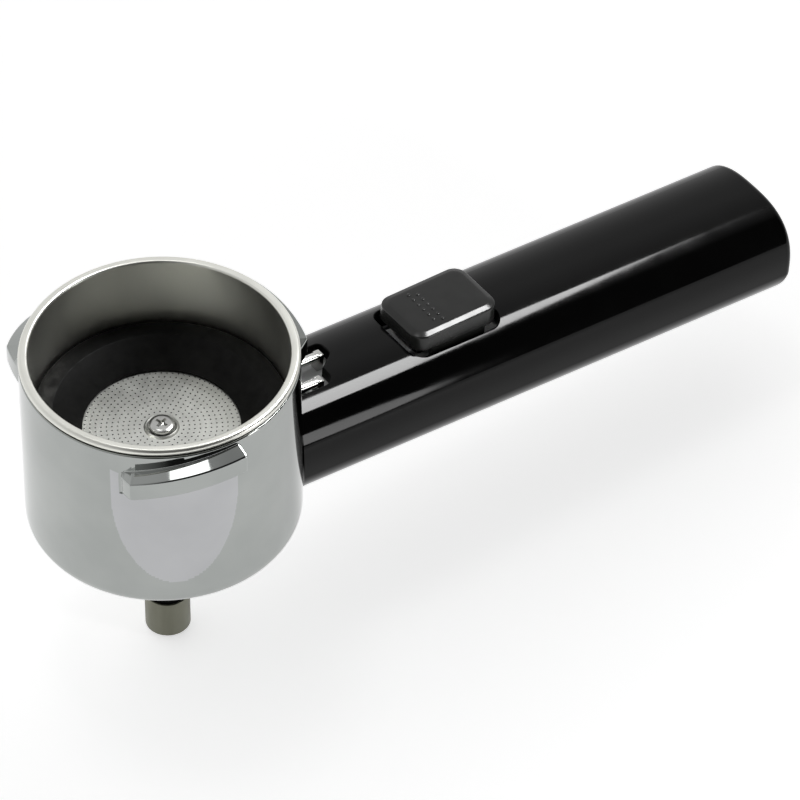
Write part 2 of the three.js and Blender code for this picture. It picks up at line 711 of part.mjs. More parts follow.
function lockFork() {
  const { halfWidth, top, bottom, front, end, rampTop, rampAt, rampLength } = FORK;
  const { tineRadius, tineHeight, tineTip, tineSpacing, nearPost, farPost, postLength } = FORK;
  const plate = slab([
    [front, -halfWidth, 1],
    [end, -halfWidth, 2],
    [end, halfWidth, 2],
    [front, halfWidth, 1],
  ], bottom, top, 3);
  const springSide = FORK_SPRING.coilRadius + 0.65;
  const stemSide = BUTTON.stemHalfWidth + 0.7;
  const springWindow = block(
    FORK_SPRING.stop - 0.4, FORK_SPRING.to + GAP, -springSide, springSide, bottom - 1, top + 1,
  );
  const stemWindow = block(rampAt, end - 2.8, -stemSide, stemSide, bottom - 1, top + 1);
  const ramp = plank([
    [rampAt - rampLength, bottom],
    [rampAt - rampLength, rampTop],
    [rampAt, rampTop],
    [rampSum - bottom, bottom],
  ], -BUTTON.stemHalfWidth, BUTTON.stemHalfWidth);
  let fork = plate.subtract(springWindow).subtract(stemWindow).add(ramp);
  for (const [side, postAt] of [[-1, nearPost], [1, farPost]]) {
    const y = (side * tineSpacing) / 2;
    const postTop = tineHeight + tineRadius - 0.2;
    const post = block(postAt, postAt + postLength, y - tineRadius, y + tineRadius, bottom + 0.2, postTop);
    const tine = rodAlongX(tineRadius, tineTip, postAt + postLength / 2, y, tineHeight, 12);
    fork = fork.add(post).add(tine);
  }
  return fork;
}
addPiece("lock_fork", lockFork(), "brightSteel", handle);

function forkGuide() {
  const { from, to, halfWidth, top, bottom, lipTop } = GUIDE;
  const tray = block(from, to, -halfWidth, halfWidth, bottom, lipTop);
  const run = block(from - 1, to + 1, -FORK.halfWidth - 0.35, FORK.halfWidth + 0.35, top, lipTop + 1);
  const { stop, from: springFrom, to: springTo, coilRadius } = FORK_SPRING;
  const troughSide = coilRadius + 0.85;
  const stopSide = coilRadius + 0.25;
  const stemSide = BUTTON.stemHalfWidth + 0.8;
  const trough = block(stop - 0.4, springTo + 1, -troughSide, troughSide, bottom + 1.3, top + 1);
  const springStop = block(stop, springFrom - GAP, -stopSide, stopSide, bottom + 1, FORK.top + 1);
  const stemWindow = block(stemFront - 2.1, BUTTON.stemEnd + 1.9, -stemSide, stemSide, bottom - 1, top + 1);
  const cupRadius = BUTTON_SPRING.coilRadius + 0.7;
  const springCup = rodAlongZ(cupRadius, BUTTON_SPRING.bottom - 0.6, top + 1, BUTTON_SPRING.at, 0, 20);
  let guide = tray.subtract(run).subtract(trough).add(springStop).subtract(stemWindow).subtract(springCup);
  for (const side of [-1, 1]) {
    const y = side * GUIDE_SCREW.side;
    guide = guide
      .subtract(rodAlongZ(GUIDE_SCREW.shankRadius + 0.35, bottom - 1, top + 1, GUIDE_SCREW.at, y, 12))
      .subtract(rodAlongZ(GUIDE_SCREW.headRadius + GAP, top - 1.6, top + 1, GUIDE_SCREW.at, y, 16));
  }
  return guide;
}
addPiece("fork_guide", forkGuide(), "blackPlastic", handle);

for (const [number, side] of [[1, -1], [2, 1]]) {
  const y = side * GUIDE_SCREW.side;
  const headBottom = GUIDE.top - 1.6 + GAP;
  const head = rodAlongZ(GUIDE_SCREW.headRadius, headBottom, GUIDE.top - 0.1, GUIDE_SCREW.at, y, 16);
  const shank = rodAlongZ(GUIDE_SCREW.shankRadius, GUIDE_SCREW.end, headBottom + 0.5, GUIDE_SCREW.at, y, 12);
  addPiece("guide_screw_" + number, head.add(shank), "brightSteel", handle);
}

const forkSpringLength = FORK_SPRING.to - FORK_SPRING.from - 2 * FORK_SPRING.wire;
const forkSpring = addPiece("fork_spring", solidOf(coil(FORK_SPRING, forkSpringLength)), "brightSteel", handle);
forkSpring.position.set(FORK_SPRING.from + FORK_SPRING.wire, 0, FORK_SPRING.height);

const buttonSpringLength = BUTTON_SPRING.top - BUTTON_SPRING.bottom;
const buttonSpring = addPiece(
  "button_spring", solidOf(coil(BUTTON_SPRING, buttonSpringLength)), "brightSteel", handle,
);
buttonSpring.rotation.y = -Math.PI / 2;
buttonSpring.position.set(BUTTON_SPRING.at, 0, BUTTON_SPRING.bottom);

export default portafilter;
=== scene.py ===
import bmesh
import bpy
import math
from mathutils import Matrix, Vector
from mathutils.geometry import delaunay_2d_cdt

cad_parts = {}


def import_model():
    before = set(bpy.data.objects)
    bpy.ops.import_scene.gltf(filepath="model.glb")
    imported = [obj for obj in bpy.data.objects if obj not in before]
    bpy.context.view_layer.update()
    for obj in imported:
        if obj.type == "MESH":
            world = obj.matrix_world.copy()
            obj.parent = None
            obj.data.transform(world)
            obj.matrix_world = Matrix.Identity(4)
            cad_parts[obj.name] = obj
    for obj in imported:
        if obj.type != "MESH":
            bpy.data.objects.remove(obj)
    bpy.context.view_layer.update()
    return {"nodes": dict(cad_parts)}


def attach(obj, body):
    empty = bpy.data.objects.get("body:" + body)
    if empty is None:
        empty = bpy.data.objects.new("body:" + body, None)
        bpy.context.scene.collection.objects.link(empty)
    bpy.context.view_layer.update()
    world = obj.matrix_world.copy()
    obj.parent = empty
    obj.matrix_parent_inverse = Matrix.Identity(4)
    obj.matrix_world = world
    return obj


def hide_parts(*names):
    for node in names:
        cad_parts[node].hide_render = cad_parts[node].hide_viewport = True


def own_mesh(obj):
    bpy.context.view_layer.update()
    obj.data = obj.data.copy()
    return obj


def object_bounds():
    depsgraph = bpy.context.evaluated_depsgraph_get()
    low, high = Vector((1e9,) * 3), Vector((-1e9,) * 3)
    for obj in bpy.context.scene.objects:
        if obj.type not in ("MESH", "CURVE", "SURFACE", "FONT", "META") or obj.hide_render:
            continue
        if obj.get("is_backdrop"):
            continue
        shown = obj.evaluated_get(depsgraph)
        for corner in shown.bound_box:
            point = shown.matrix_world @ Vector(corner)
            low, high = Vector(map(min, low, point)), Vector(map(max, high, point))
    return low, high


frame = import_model()

# ---------------------------------------------------------------- spaces and sizes
MM = 0.001
BOWL_SPACE = Matrix.Scale(MM, 4)
HANDLE_CROWN = -23.95  # the crown line's height on the bowl's axis
HANDLE_DROP = math.radians(5.44)
HANDLE_SPACE = (
    BOWL_SPACE @ Matrix.Translation((0, 0, HANDLE_CROWN)) @ Matrix.Rotation(HANDLE_DROP, 4, "Y")
)
TURN = 2 * math.pi

BOWL = dict(
    radius=31, top=-2, bottom=-48.3, corner=3.7, bore=29.6, shoulder=-25.8, chamber=27.6,
    chamber_floor=-44, drain=3.4, socket=4.7, socket_top=-49.4, hub_top=11, hub_bottom=8.6,
    hub_end=-62,
)
# each lug: where it starts and ends, how far it tapers on past its end (degrees), and its ramp's power
LUG = dict(
    spans=((-21.5, 30, 0, 1.65), (98.5, 133.5, 12, 1.2), (218.5, 270, 0, 1.65)),
    lead=6, end_run=1.1, reach=34.4, high=-4.1, rise=4, lean=1, thickness=4.8,
)
# each shield: its middle and its half width, in degrees
SHIELD = dict(places=((114, 20.5), (241.5, 27)), top=-9, shoulder=-15, tip=-40.9, proud=3.2)
BASKET = dict(inner=28.8, sheet=0.5, rim=31, rim_height=1.7, floor=-24.4, hole=7)
SEAT = dict(top=-17.7, mouth=24, throat=17.3, lip=-22.7, outer=28.4)
SIEVE = dict(
    radius=18.4, top=-23, sheet=0.5, screw_hole=2.3, pitch=1.22, hole=0.19, first=4.9, last=17.1,
    ring=3.5, ring_half=0.55, ring_rise=0.45,
)
# circles drawn across the disc's pressed ring, so that its rise is round
RING_CIRCLES = (2.75, 3.0, 3.2, 3.35, 3.5, 3.65, 3.8, 4.0, 4.3)
OUTLET = dict(
    inner=3.4, outer=4.4, top=-51, end=-83.3, sleeve_inner=4.7, sleeve_outer=5.15, sleeve_top=-74.5,
    sleeve_end=-84.3, seal_radius=4.05, seal_height=-50.2, seal_half=0.5,
)
HANDLE = dict(
    end=167.7, saddle=31.5, half_width=16.4, widest=14.85, depth=27.7, upper=2.69, lower=1.6,
    flare=0.019, end_fillet=1.8, wall=2.6, core_from=92,
)
BUTTON = dict(start=64.2, end=87.2, half=8.2, corner=3.2, front=3.7, rear=4.6, bottom=-0.6)
POCKET = dict(start=63, end=88.4, half=9.3, corner=3.9, floor=-7.6)
NOTCH = dict(
    start=22, near=-6, near_end=42.9, far=6.6, far_end=47.3, step_from=-1.2, step_to=2, overlap=0.8,
    corner=2.5, step=1.5,
)
LIP = dict(round_over=0.45, proud=0.04, above=1.5)
CHANNEL = dict(half=7.4, floor=-9.6, roof=-2.7, end=94)
TANG = dict(half=6.6, end=66, top=-9.6, bottom=-21.2)
BOLT = dict(height=-16, shank=2.6, head=4.6, start=46, seat=76, head_length=4.5)
FORK = dict(
    half=6.1, top=-4.7, bottom=-6.3, front=39, end=90.6, posts=(39.4, 44.4), spacing=7.2, tine=1.1,
    tine_height=-1.2, tip=27.9, ramp_at=66, ramp_top=-3.3, ramp_half=3.6,
)
GUIDE_SCREW = dict(x=62, y=4.2, slot_length=1.6, slot_half=0.3)
# where each spring starts, its coil radius, wire radius, turns and length, and its share when pressed
FORK_SPRING = dict(start=(49.1, 0, -5.5), radius=1.45, wire=0.25, turns=6, length=9.1, pressed=0.626)
BUTTON_SPRING = dict(start=(80.5, 0, -7.9), radius=2.2, wire=0.3, turns=4, length=5.2, pressed=0.35)
SHARP = 32  # degrees between faces that stay a crisp edge


# ---------------------------------------------------------------- mesh helpers
def outline(corners, steps=6):
    """Points of a polygon whose corners are (x, y) or (x, y, fillet radius)."""
    points = []
    for i, corner in enumerate(corners):
        here = Vector(corner[:2])
        radius = corner[2] if len(corner) > 2 else 0
        if not radius:
            points.append(here)
            continue
        back = (Vector(corners[i - 1][:2]) - here).normalized()
        ahead = (Vector(corners[(i + 1) % len(corners)][:2]) - here).normalized()
        half = back.angle(ahead) / 2
        centre = here + (back + ahead).normalized() * radius / math.sin(half)
        arm = here + back * radius / math.tan(half) - centre
        turn = math.copysign(math.pi - 2 * half, -back.cross(ahead))
        for step in range(steps + 1):
            points.append(centre + Matrix.Rotation(turn * step / steps, 2) @ arm)
    return points


def smooth(mesh, sharp=SHARP):
    mesh.shade_smooth()
    mesh.set_sharp_from_angle(angle=math.radians(sharp))


def make(name, points, faces, space=BOWL_SPACE, sharp=SHARP):
    """A new object from points in the space's own millimetres."""
    mesh = bpy.data.meshes.new(name)
    mesh.from_pydata([space @ Vector(point) for point in points], [], faces)
    mesh.validate()
    tidy = bmesh.new()
    tidy.from_mesh(mesh)
    bmesh.ops.recalc_face_normals(tidy, faces=tidy.faces)
    tidy.to_mesh(mesh)
    tidy.free()
    smooth(mesh, sharp)
    obj = bpy.data.objects.new(name, mesh)
    bpy.context.scene.collection.objects.link(obj)
    return obj


def grid_faces(rings, count, closed):
    """Quads between rings of points, and back to the first ring if closed."""
    faces = []
    for ring in range(rings if closed else rings - 1):
        ahead = (ring + 1) % rings
        for i in range(count):
            j = (i + 1) % count
            faces.append((ring * count + i, ring * count + j, ahead * count + j, ahead * count + i))
    return faces


def loft(name, rings, space=BOWL_SPACE):
    """A skin over rings of the same number of points, with a flat face at each end."""
    count = len(rings[0])
    faces = grid_faces(len(rings), count, False)
    faces.append(tuple(reversed(range(count))))
    faces.append(tuple(range((len(rings) - 1) * count, len(rings) * count)))
    return make(name, [point for ring in rings for point in ring], faces, space)


def lathe(name, corners, segments=128, steps=6, space=BOWL_SPACE, axis="Z", at=(0, 0, 0)):
    """A body turned from a closed outline of (radius, height, fillet) corners."""
    points = []
    rings = []
    for radius, height in outline(corners, steps):
        if radius < 1e-6:
            rings.append([len(points)])
            points.append(Vector((0, 0, height)))
            continue
        rings.append(list(range(len(points), len(points) + segments)))
        for i in range(segments):
            angle = TURN * i / segments
            points.append(Vector((radius * math.cos(angle), radius * math.sin(angle), height)))
    faces = []
    for one, two in zip(rings, rings[1:] + rings[:1]):
        for i in range(segments):
            j = (i + 1) % segments
            corners_here = [one[i % len(one)], one[j % len(one)], two[j % len(two)], two[i % len(two)]]
            face = tuple(dict.fromkeys(corners_here))
            if len(face) > 2:
                faces.append(face)
    turned = Matrix.Translation(at)
    if axis == "X":
        turned = turned @ Matrix.Rotation(math.pi / 2, 4, "Y")
    return make(name, points, faces, space @ turned)


def rod(name, radius, start, end, at, axis="X", space=HANDLE_SPACE, edge=0.15, segments=32):
    """A round bar from start to end along the axis, with softened ends."""
    corners = [(0, start), (radius, start, edge), (radius, end, edge), (0, end)]
    return lathe(name, corners, segments, 3, space, axis, at)


def slab(name, corners, low, high, space=HANDLE_SPACE, edge=0.0, steps=5, plane="XY"):
    """A flat outline made thick, its rims rounded by edge."""
    flat = outline(corners, steps)
    middle = sum(flat, Vector((0, 0))) / len(flat)
    levels = [(low, 0), (high, 0)]
    if edge:
        arc = [math.pi / 2 * step / 3 for step in range(4)]
        levels = [(low + edge * (1 - math.sin(a)), edge * (1 - math.cos(a))) for a in reversed(arc)]
        levels += [(high - edge * (1 - math.sin(a)), edge * (1 - math.cos(a))) for a in arc]
    rings = []
    for level, inset in levels:
        ring = []
        for point in flat:
            away = point - middle
            drawn = [length - math.copysign(min(inset, abs(length)), length) for length in away]
            x, y = middle + Vector(drawn)
            ring.append(Vector((x, y, level)) if plane == "XY" else Vector((x, level, y)))
        rings.append(ring)
    return loft(name, rings, space)


def block(name, x, y, z, space=HANDLE_SPACE, edge=0.0):
    corners = [(x[0], y[0]), (x[1], y[0]), (x[1], y[1]), (x[0], y[1])]
    return slab(name, corners, z[0], z[1], space, edge)


def bake(obj):
    """The object's mesh with its modifiers applied."""
    depsgraph = bpy.context.evaluated_depsgraph_get()
    mesh = bpy.data.meshes.new_from_object(obj.evaluated_get(depsgraph))
    old = obj.data
    obj.modifiers.clear()
    obj.data = mesh
    bpy.data.meshes.remove(old)


def discard(obj):
    mesh = obj.data
    bpy.data.objects.remove(obj)
    bpy.data.meshes.remove(mesh)


def combine(obj, operation, others):
    """Joins or cuts the others, and removes them."""
    for other in others:
        modifier = obj.modifiers.new(operation.lower(), "BOOLEAN")
        modifier.operation = operation
        modifier.solver = "MANIFOLD"
        modifier.object = other
        bake(obj)
        discard(other)


def join(obj, others):
    """Puts the others' shells into the object's mesh."""
    whole = bmesh.new()
    whole.from_mesh(obj.data)
    for other in others:
        whole.from_mesh(other.data)
        discard(other)
    whole.to_mesh(obj.data)
    whole.free()


def coil(name, spring, matrix, wire_sides=10, steps_per_turn=28):
    """A coil spring along its own Z from 0 to its length, its end turns closed up and flat."""
    radius, wire, turns, length = (spring[size] for size in ("radius", "wire", "turns", "length"))
    steps = int(turns * steps_per_turn)
    centres = []
    for step in range(steps + 1):
        share = step / steps
        angle = TURN * turns * share
        rest = min(1, max(0, (share * turns - 0.6) / (turns - 1.2)))
        height = wire + (length - 2 * wire) * rest
        centres.append(Vector((radius * math.cos(angle), radius * math.sin(angle), height)))
    points = []
    for i, centre in enumerate(centres):
        ahead = centres[min(i + 1, steps)] - centres[max(i - 1, 0)]
        out = Vector((centre.x, centre.y, 0)).normalized()
        side = ahead.normalized().cross(out).normalized()
        for k in range(wire_sides):
            angle = TURN * k / wire_sides
            points.append(centre + out * wire * math.cos(angle) + side * wire * math.sin(angle))
    faces = grid_faces(steps + 1, wire_sides, False)
    faces.append(tuple(range(wire_sides)))
    faces.append(tuple(range(steps * wire_sides, (steps + 1) * wire_sides)))
    return make(name, points, faces, matrix)


# ---------------------------------------------------------------- materials
def surface(
    name, values, colours, colour_scale, roughness, roughness_scale, bumps, stretch=(1, 1, 1)
):
    """A material whose colour and roughness wander with noise, with any number of bump layers.

    values are sockets that stay uniform, and bumps are (scale, detail, metres high, strength).
    The noise is in object space, and stretch scales it along each axis."""
    made = bpy.data.materials.new(name)
    made.use_nodes = True
    tree = made.node_tree
    nodes, links = tree.nodes, tree.links
    shader = nodes["Principled BSDF"]
    for socket, value in values.items():
        shader.inputs[socket].default_value = value
    place = nodes.new("ShaderNodeTexCoord").outputs["Object"]
    if stretch != (1, 1, 1):
        mapping = nodes.new("ShaderNodeMapping")
        mapping.inputs["Scale"].default_value = stretch
        links.new(place, mapping.inputs["Vector"])
        place = mapping.outputs["Vector"]

    def noise(scale, detail):
        node = nodes.new("ShaderNodeTexNoise")
        node.inputs["Scale"].default_value = scale
        node.inputs["Detail"].default_value = detail
        links.new(place, node.inputs["Vector"])
        return node.outputs["Fac"]

    ramp = nodes.new("ShaderNodeValToRGB")
    ramp.color_ramp.elements[0].position = 0.35
    ramp.color_ramp.elements[1].position = 0.65
    ramp.color_ramp.elements[0].color = (*colours[0], 1)
    ramp.color_ramp.elements[1].color = (*colours[1], 1)
    links.new(noise(colour_scale, 3), ramp.inputs["Fac"])
    links.new(ramp.outputs["Color"], shader.inputs["Base Color"])

    spread = nodes.new("ShaderNodeMapRange")
    spread.inputs["From Min"].default_value = 0.3
    spread.inputs["From Max"].default_value = 0.7
    spread.inputs["To Min"].default_value = roughness[0]
    spread.inputs["To Max"].default_value = roughness[1]
    links.new(noise(roughness_scale, 4), spread.inputs["Value"])
    links.new(spread.outputs["Result"], shader.inputs["Roughness"])

    normal = None
    for scale, detail, distance, strength in bumps:
        bump = nodes.new("ShaderNodeBump")
        bump.inputs["Distance"].default_value = distance
        bump.inputs["Strength"].default_value = strength
        links.new(noise(scale, detail), bump.inputs["Height"])
        if normal:
            links.new(normal, bump.inputs["Normal"])
        normal = bump.outputs["Normal"]
    if normal:
        links.new(normal, shader.inputs["Normal"])
    return made


METAL = {"Metallic": 1.0}


def plastic(shine):
    return {"Specular IOR Level": shine}


LOOKS = {
    "chrome_casting": surface(
        "polished_chrome", METAL, ((0.355, 0.37, 0.36), (0.39, 0.405, 0.393)), 60,
        (0.03, 0.07), 220, [(55, 1, 0.00006, 0.25), (1400, 2, 0.000004, 0.2)],
    ),
    "basket_steel": surface(
        "satin_basket_steel", METAL, ((0.72, 0.72, 0.67), (0.78, 0.78, 0.73)), 45,
        (0.3, 0.36), 160, [(900, 3, 0.000006, 0.2)], (1, 1, 0.25),
    ),
    "sieve_steel": surface(
        "pressed_sieve_steel", METAL, ((0.57, 0.575, 0.545), (0.61, 0.615, 0.585)), 120,
        (0.34, 0.4), 400, [(1500, 3, 0.000012, 0.5)],
    ),
    "seat_plastic": surface(
        "moulded_seat_plastic", plastic(0.14), ((0.003, 0.003, 0.0028), (0.008, 0.008, 0.0075)), 260,
        (0.42, 0.62), 500, [(900, 5, 0.00006, 0.5), (250, 2, 0.00005, 0.2)],
    ),
    "handle_plastic": surface(
        "gloss_black_plastic", plastic(0.17), ((0.0015, 0.0015, 0.0016), (0.003, 0.003, 0.003)), 40,
        (0.05, 0.11), 120, [(35, 1, 0.00003, 0.15)],
    ),
    "button_plastic": surface(
        "satin_button_plastic", plastic(0.4), ((0.017, 0.0175, 0.0165), (0.022, 0.0225, 0.021)), 180,
        (0.19, 0.24), 300, [(1800, 3, 0.000012, 0.3)],
    ),
    "seal_rubber": surface(
        "seal_rubber", plastic(0.3), ((0.012, 0.012, 0.012), (0.02, 0.02, 0.02)), 200,
        (0.65, 0.8), 300, [(900, 4, 0.00004, 0.5)],
    ),
    "fastener_steel": surface(
        "plated_fastener_steel", METAL, ((0.5, 0.5, 0.49), (0.6, 0.6, 0.58)), 150,
        (0.16, 0.26), 500, [(900, 3, 0.000012, 0.35)],
    ),
    "spout_steel": surface(
        "brushed_spout_steel", METAL, ((0.16, 0.16, 0.125), (0.2, 0.2, 0.16)), 140,
        (0.42, 0.52), 500, [(1500, 4, 0.00003, 0.5)], (1, 1, 0.2),
    ),
}
# looks for the handle's cut faces, rough black plastic painted darker than the outside as shade in the
# pocket and notch; for the bowl's shields, the same chrome painted lighter as a painted reflection; and for
# the fork's guide
UNPOLISHED_SHADED_PLASTIC = surface(
    "unpolished_painted_shade_black_plastic", plastic(0.12), ((0.0008, 0.0008, 0.0008), (0.002, 0.002, 0.002)), 200,
    (0.4, 0.55), 300, [(1200, 3, 0.00003, 0.4)],
)
# the bowl's chrome painted lighter on the shields: a painted reflection of the brighter floor they mirror
SHIELD_PAINTED_REFLECTION_CHROME = surface(
    "shield_painted_reflection_chrome", METAL, ((0.435, 0.44, 0.45), (0.465, 0.47, 0.48)), 60,
    (0.03, 0.06), 220, [(55, 1, 0.00004, 0.2)],
)
GUIDE_PLASTIC = surface(
    "guide_plastic", plastic(0.4), ((0.02, 0.02, 0.02), (0.03, 0.03, 0.03)), 220,
    (0.35, 0.5), 300, [(1100, 3, 0.00003, 0.4)],
)


def wear(obj, look):
    obj.data.materials.clear()
    obj.data.materials.append(look)


def settle(obj, body, slot, *nodes):
    """Gives a piece its material and its CAD body, and hides the CAD nodes that it stands for."""
    if not any(obj.data.materials):
        wear(obj, LOOKS[slot])
    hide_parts(*nodes)
    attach(obj, body)
    return obj


# ---------------------------------------------------------------- bowl
def soft_step(share):
    share = min(1, max(0, share))
    return share * share * (3 - 2 * share)


def soft_max(a, b, width=0.1):
    """The larger of two, rounded where they meet."""
    share = max(0, width - abs(a - b)) / width
    return max(a, b) + (share * share - 1) * width / 4


def turn_from(angle, middle):
    return (angle - middle + 180) % 360 - 180


def lug_at(angle):
    """The top edge's height and the share of its full reach that a lug has at this angle."""
    for start, end, slant, power in LUG["spans"]:
        here = turn_from(angle, start)
        length = end - start
        if 0 <= here <= length + slant:
            along = min(1, here / length)
            height = LUG["high"] - LUG["rise"] * (1 - along) ** power
            lead = min(1, here / LUG["lead"])
            if slant:
                tail = min(1, (length + slant - here) / slant)
            else:
                tail = soft_step((length - here) / LUG["end_run"])
            return height, lead * tail
    ends = [end + slant for _, end, slant, _ in LUG["spans"]]
    starts = [span[0] for span in LUG["spans"][1:] + LUG["spans"][:1]]
    past, gap = min(((angle - end) % 360, (start - end) % 360) for end, start in zip(ends, starts))
    return LUG["high"] - LUG["rise"] * soft_step(past / gap), 0


def shield_at(angle, z):
    """How far the shield under a lug stands out of the wall. Each level is an arc between its edges."""
    if z <= SHIELD["tip"]:
        return 0
    below = max(0, (SHIELD["shoulder"] - z) / (SHIELD["shoulder"] - SHIELD["tip"]))
    narrowing = math.sqrt(1 - below * below)
    level = min(z, SHIELD["top"])
    proud = SHIELD["proud"] * (level - SHIELD["tip"]) / (SHIELD["top"] - SHIELD["tip"])
    if z > SHIELD["top"]:
        gone = BOWL["top"] - 0.8
        proud *= soft_step((gone - z) / (gone - SHIELD["top"]))
    if proud < 0.002:
        return 0
    wall = BOWL["radius"]
    reach = wall + proud
    for middle, widest in SHIELD["places"]:
        here = math.radians(turn_from(angle, middle))
        half = math.radians(max(1, widest * narrowing))
        if abs(here) >= half:
            continue
        centre = (reach ** 2 - wall ** 2) / (2 * (reach - wall * math.cos(half)))
        arc = reach - centre
        across = centre * math.sin(here)
        return centre * math.cos(here) + math.sqrt(max(0, arc ** 2 - across ** 2)) - wall
    return 0


def lug_section():
    """The full lug's section, as (share of its reach, height from its inner top edge) from the top."""
    reach = LUG["reach"] - BOWL["radius"]
    underside = -LUG["lean"] - LUG["thickness"]
    flat = outline([
        (-0.6, 3), (0, 0, 0.35), (reach, -LUG["lean"], 0.5), (reach, underside, 0.7),
        (0, underside - 0.35, 0.3), (0, -12),
    ], 4)
    return [(point.x / reach, point.y) for point in flat[1:-1]]


def bowl_column(angle, section):
    """The wall's closed outline at an angle, as (radius, height): rim, lug, shield, hub and inside."""
    wall, top = BOWL["radius"], BOWL["top"]
    inner_rim = wall - 1.1
    height, share = lug_at(angle)
    reach = LUG["reach"] - wall
    inner_top = height + LUG["lean"]
    points = outline([(inner_rim, top), (wall, top, 0.35), (wall, top - 1)], 4)[:-1]
    for out, drop in section:
        z = inner_top + drop
        shield = shield_at(angle, z)
        if z > height - LUG["thickness"]:
            shield *= 1 - soft_step(share * 2)
        points.append(Vector((wall + soft_max(out * share * reach, shield), z)))
    start = points[-1].y
    end = SHIELD["tip"] - 1
    rows = 60
    for row in range(1, rows + 1):
        z = start + (end - start) * row / rows
        points.append(Vector((wall + soft_max(0, shield_at(angle, z)), z)))
    below = outline([
        (wall, end), (wall, BOWL["bottom"], BOWL["corner"]), (BOWL["hub_top"], BOWL["bottom"], 1.5),
        (BOWL["hub_bottom"], BOWL["hub_end"], 0.8), (BOWL["socket"], BOWL["hub_end"], 0.25),
        (BOWL["socket"], BOWL["socket_top"]), (BOWL["drain"], BOWL["socket_top"]),
        (BOWL["drain"], BOWL["chamber_floor"] - 0.5, 0.4), (BOWL["chamber"], BOWL["chamber_floor"], 2),
        (BOWL["chamber"], BOWL["shoulder"], 0.2), (BOWL["bore"], BOWL["shoulder"], 0.2),
        (BOWL["bore"], top - 0.3), (BOWL["bore"] + 0.3, top), (inner_rim, top),
    ], 5)[1:-1]
    return points + below


def bowl_angles():
    """Angles round the wall: close together on the lugs and shields, closest at the lugs' ends."""
    angles = []
    spans = LUG["spans"]
    margin, corner_reach = 5.5, 0.9
    corner_step, close_step, wide_step = 0.16, 0.5, 1.2
    for (start, end, slant, _), ahead in zip(spans, spans[1:] + spans[:1]):
        finish = end + slant
        end_corner = end if slant else end - LUG["end_run"] / 2
        corners = (start, start + LUG["lead"], end_corner, finish)
        here = start - margin
        while here < finish + margin:
            angles.append(here)
            near = min(abs(here - corner) for corner in corners)
            here += corner_step if near < corner_reach else close_step
        rest = (ahead[0] - margin - here) % 360
        count = int(rest / wide_step)
        angles += [here + rest * i / count for i in range(count)]
    return angles


def on_shield(point):
    """Whether a point of the wall lies on a shield's own face, and not on a lug over it."""
    x, y, z = point
    proud = shield_at(math.degrees(math.atan2(y, x)), z)
    return proud > 0.02 and abs(math.hypot(x, y) - BOWL["radius"] - proud) < 0.1


def bowl_body():
    section = lug_section()
    angles = bowl_angles()
    points = []
    for angle in angles:
        column = bowl_column(angle, section)
        turn = math.radians(angle)
        points += [(r * math.cos(turn), r * math.sin(turn), z) for r, z in column]
    count = len(points) // len(angles)
    body = make("bowl_body_casting", points, grid_faces(len(angles), count, True), sharp=40)
    wear(body, LOOKS["chrome_casting"])
    # the shields' own faces get the chrome painted lighter, a painted reflection
    body.data.materials.append(SHIELD_PAINTED_REFLECTION_CHROME)
    for polygon in body.data.polygons:
        if all(on_shield(points[index]) for index in polygon.vertices):
            polygon.material_index = 1
    tang = slab("tang", [
        (BOWL["radius"] - 1, TANG["bottom"]), (TANG["end"], TANG["bottom"], 1.5),
        (TANG["end"], TANG["top"], 1), (BOWL["radius"] - 1, TANG["top"]),
    ], -TANG["half"], TANG["half"], edge=0.4, plane="XZ")
    bolt_room = BOLT["shank"] + 0.35
    bolt_hole = rod("bolt_hole", bolt_room, BOLT["start"] - 0.6, TANG["end"] + 2, (0, 0, BOLT["height"]))
    combine(tang, "DIFFERENCE", [bolt_hole])
    combine(body, "UNION", [tang])
    holes = []
    for side in (-1, 1):
        at = (0, side * FORK["spacing"] / 2, FORK["tine_height"])
        holes.append(rod("tine_hole", FORK["tine"] + 0.4, BOWL["chamber"] - 3, BOWL["radius"] + 1, at))
    combine(body, "DIFFERENCE", holes)
    smooth(body.data, 40)
    weighted = body.modifiers.new("weighted_normals", "WEIGHTED_NORMAL")
    weighted.keep_sharp = True
    return settle(body, "holder", "chrome_casting", "bowl_body")


bowl_body()


# ---------------------------------------------------------------- basket, seat and sieve
def filter_basket():
    outside = BASKET["inner"] + BASKET["sheet"]
    underside = BASKET["floor"] - BASKET["sheet"]
    rolled = BASKET["rim_height"] / 2
    basket = lathe("filter_basket_cup", [
        (BASKET["inner"], BASKET["floor"], 1.2), (BASKET["inner"], 0, rolled * 0.75),
        (BASKET["rim"], 0, rolled), (BASKET["rim"], -BASKET["rim_height"], rolled * 0.95),
        (outside, -BASKET["rim_height"]), (outside, underside, 1.7),
        (BASKET["hole"], underside), (BASKET["hole"], BASKET["floor"]),
    ], 192, 10)
    return settle(basket, "basket", "basket_steel", "filter_basket")


def pod_seat():
    bottom = BASKET["floor"] + 0.3
    seat = lathe("pod_seat_ring", [
        (SEAT["mouth"], SEAT["top"], 0.3), (SEAT["outer"], SEAT["top"], 0.4), (SEAT["outer"], bottom, 1.3),
        (SIEVE["radius"] + 0.3, bottom), (SIEVE["radius"] + 0.3, SEAT["lip"]),
        (SEAT["throat"], SEAT["lip"], 0.12),
    ], 192, 5)
    return settle(seat, "basket", "seat_plastic", "pod_seat")


def sieve_height(radius):
    """How far the disc is raised at a radius, by the ring pressed round the screw."""
    return SIEVE["ring_rise"] * soft_step(1 - abs(radius - SIEVE["ring"]) / SIEVE["ring_half"])


def circle(radius, sides, centre=(0, 0), phase=0.0):
    turns = [TURN * i / sides + phase for i in range(sides)]
    x, y = centre
    return [Vector((x + radius * math.cos(turn), y + radius * math.sin(turn))) for turn in turns]


